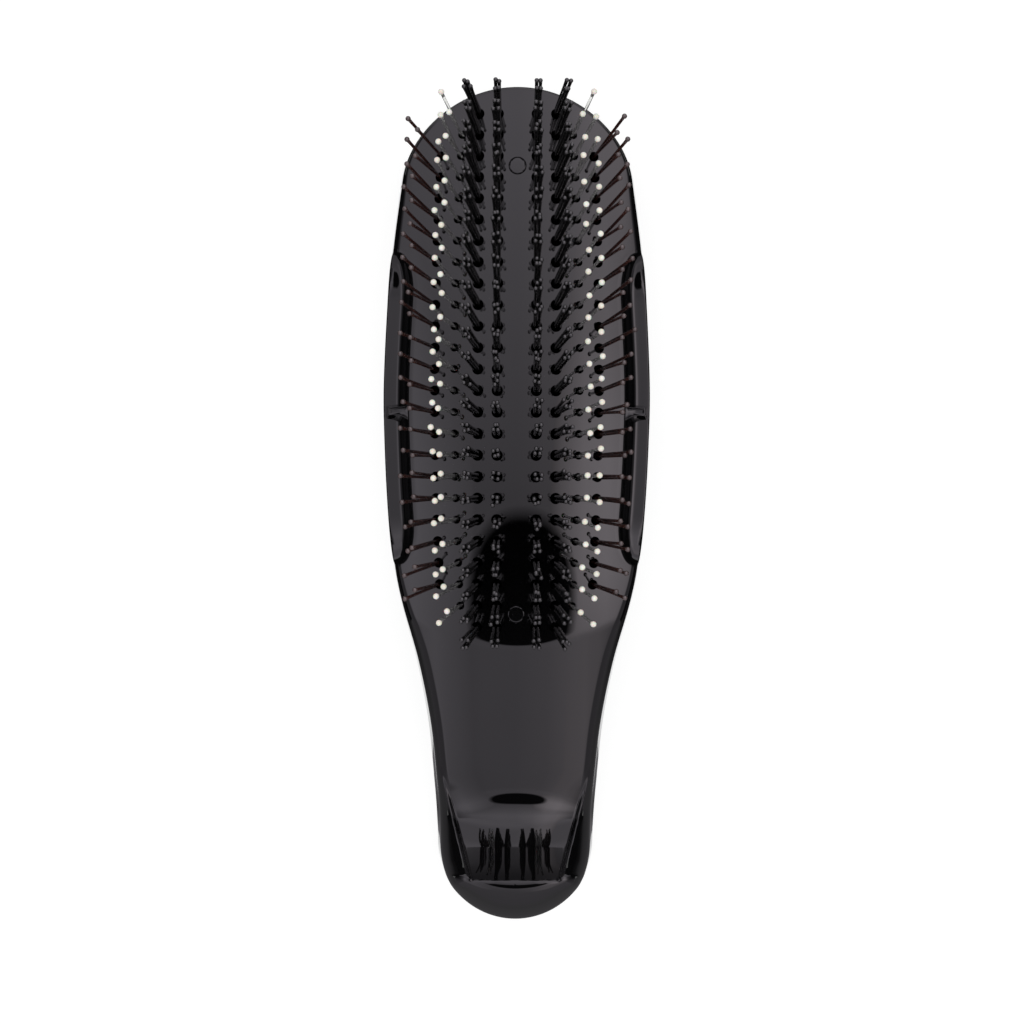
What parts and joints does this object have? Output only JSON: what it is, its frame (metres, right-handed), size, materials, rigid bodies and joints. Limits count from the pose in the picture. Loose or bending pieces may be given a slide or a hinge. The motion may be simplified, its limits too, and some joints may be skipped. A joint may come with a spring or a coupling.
{
  "type": "scalp brush",
  "caption": "Curved scalp brush with fanned ball-tipped pins, side finger grooves, a thumb scoop and a short round handle.",
  "frame": {"origin": "middle of the shallow flat on the back, on the middle plane, half way along the body", "axes": "+Z away from the back along the middle pins, +Y towards the head's tip, +X to the right seen from the pins"},
  "size_m": [0.056, 0.175, 0.0414],
  "materials": {
    "shell_black": "mirror gloss",
    "plug_black": "gloss",
    "screw_steel": "zinc plated",
    "pin_black": "satin nylon",
    "pin_clear": "clear nylon with cream tips",
    "pin_brown": "dark brown nylon"
  },
  "bodies": {
    "root": {"front_shell": "shell_black", "back_shell": "shell_black", "screw_plugs": "plug_black", "shell_screws": "screw_steel", "black_tufts_inner_left": "pin_black", "black_tufts_inner_right": "pin_black", "black_tufts_outer_left": "pin_black", "black_tufts_outer_right": "pin_black", "clear_tufts_left": "pin_clear", "clear_tufts_right": "pin_clear", "brown_tufts_left": "pin_brown", "brown_tufts_right": "pin_brown"}
  },
  "joints": []
}
